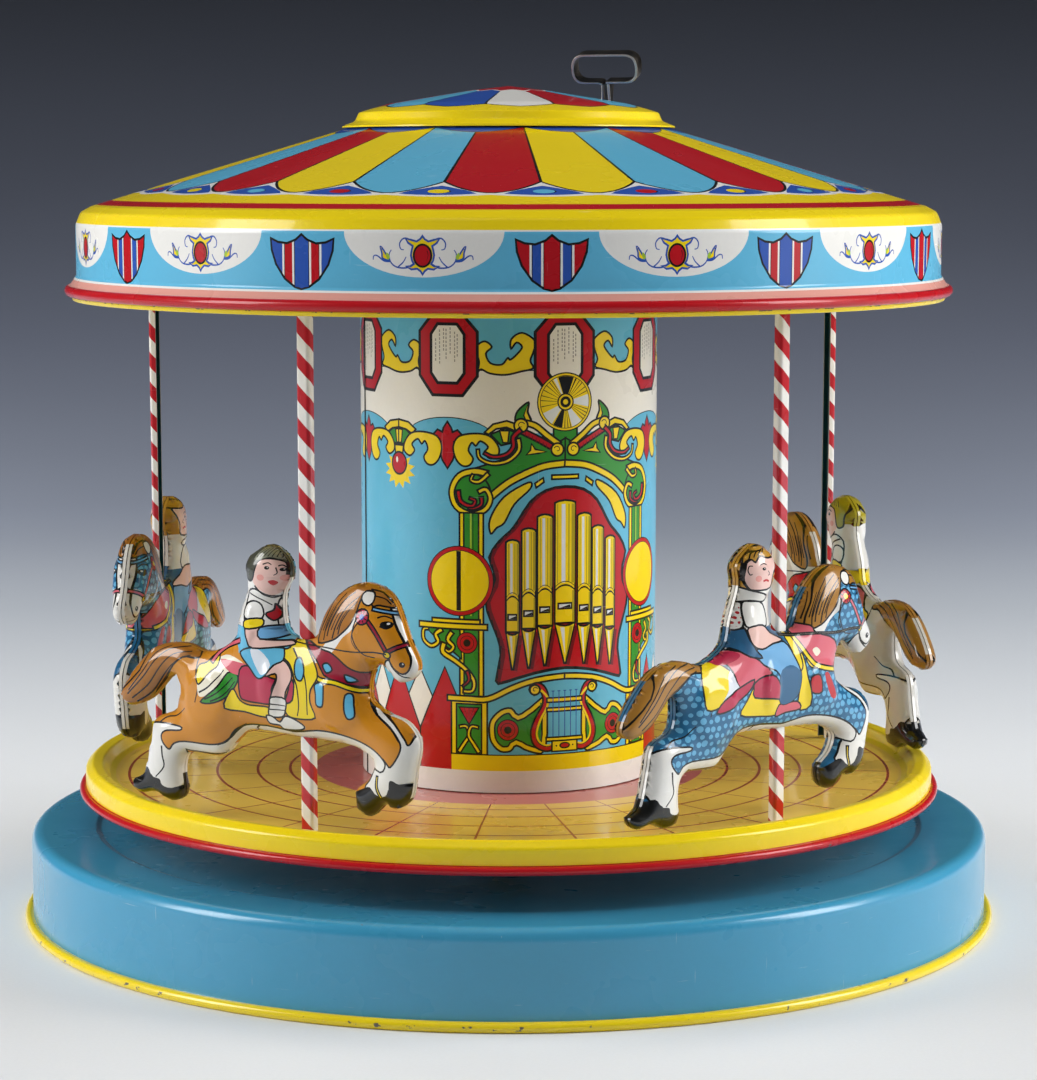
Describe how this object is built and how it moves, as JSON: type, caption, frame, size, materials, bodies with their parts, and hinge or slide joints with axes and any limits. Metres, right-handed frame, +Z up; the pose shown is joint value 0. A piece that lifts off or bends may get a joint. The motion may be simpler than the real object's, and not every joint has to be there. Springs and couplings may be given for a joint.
{
  "type": "wind up tin carousel toy",
  "caption": "Clockwork tinplate merry-go-round: horses with riders on a turning deck round a printed drum, a cone roof and a bent-strip winding key.",
  "frame": {"origin": "middle of the ring the base stands on, on the turning axis", "axes": "+Z up along the spindle, -Y towards the front"},
  "size_m": [0.3, 0.3, 0.2628],
  "materials": {
    "base_blue": "gloss litho print, worn",
    "deck_yellow": "gloss litho print, worn",
    "column_blue": "gloss litho print, worn",
    "ceiling_yellow": "gloss litho print",
    "canopy_print": "gloss litho print, worn",
    "cap_yellow": "gloss litho print, worn",
    "pole_red": "gloss litho print",
    "horse_print": "gloss litho print, worn",
    "steel": "plain drawn steel",
    "brass": "stamped brass",
    "spring_steel": "blued spring steel",
    "key_nickel": "worn nickel plate"
  },
  "bodies": {
    "base": {"base_pan": "base_blue", "spindle": "steel", "spindle_washer": "steel", "spindle_nut": "steel", "spindle_collar": "steel", "thrust_washer": "brass", "sun_pinion": "brass"},
    "carousel": {"canopy": "canopy_print", "ceiling": "ceiling_yellow", "ceiling_hub": "brass", "column": "column_blue", "deck": "deck_yellow", "deck_hub": "brass", "horse_1_inner": "horse_print", "horse_1_outer": "horse_print", "horse_2_inner": "horse_print", "horse_2_outer": "horse_print", "horse_3_inner": "horse_print", "horse_3_outer": "horse_print", "horse_4_inner": "horse_print", "horse_4_outer": "horse_print", "horse_5_inner": "horse_print", "horse_5_outer": "horse_print", "mainspring": "spring_steel", "motor_bottom_plate": "steel", "motor_pillar_1": "steel", "motor_pillar_2": "steel", "motor_pillar_3": "steel", "motor_pillar_4": "steel", "motor_screw_1": "steel", "motor_screw_2": "steel", "motor_screw_3": "steel", "motor_top_plate": "steel", "pole_1": "pole_red", "pole_2": "pole_red", "pole_3": "pole_red", "pole_4": "pole_red", "pole_5": "pole_red", "roof_cap": "cap_yellow"},
    "great_wheel": {"great_wheel": "brass", "click_stud": "steel", "click_spring": "spring_steel"},
    "click": {"click": "steel"},
    "winding": {"winding_arbor": "steel", "ratchet_wheel": "steel", "key": "key_nickel"},
    "second": {"second_arbor": "steel", "second_pinion": "brass", "second_wheel": "brass"},
    "fly": {"fly_arbor": "steel", "fly_pinion": "brass", "fly_vane": "steel"}
  },
  "joints": [
    {"name": "turntable_spin", "type": "hinge", "parent": "base", "child": "carousel", "pos_m": [0, 0, 0.044], "axis": [0, 0, 1], "continuous": true},
    {"name": "great_wheel_turn", "type": "hinge", "parent": "carousel", "child": "great_wheel", "pos_m": [0.03, 0.006, 0.2], "axis": [0, 0, 1], "continuous": true},
    {"name": "key_wind", "type": "hinge", "parent": "great_wheel", "child": "winding", "pos_m": [0.03, 0.006, 0.2], "axis": [0, 0, 1], "continuous": true},
    {"name": "click_lift", "type": "hinge", "parent": "great_wheel", "child": "click", "pos_m": [0.04101, -0.00561, 0.203], "axis": [0, 0, 1], "range_deg": [0, 8], "stiffness_Nm_per_rad": 0.002},
    {"name": "second_arbor_turn", "type": "hinge", "parent": "carousel", "child": "second", "pos_m": [0.01514, 0.02978, 0.2], "axis": [0, 0, 1], "continuous": true},
    {"name": "fly_turn", "type": "hinge", "parent": "carousel", "child": "fly", "pos_m": [0.0003, 0.03578, 0.2], "axis": [0, 0, 1], "continuous": true}
  ],
  "couplings": [
    {"joint": "great_wheel_turn", "follows": "turntable_spin", "ratio": 0.33333},
    {"joint": "second_arbor_turn", "follows": "turntable_spin", "ratio": -1.5},
    {"joint": "fly_turn", "follows": "turntable_spin", "ratio": 4.5}
  ]
}
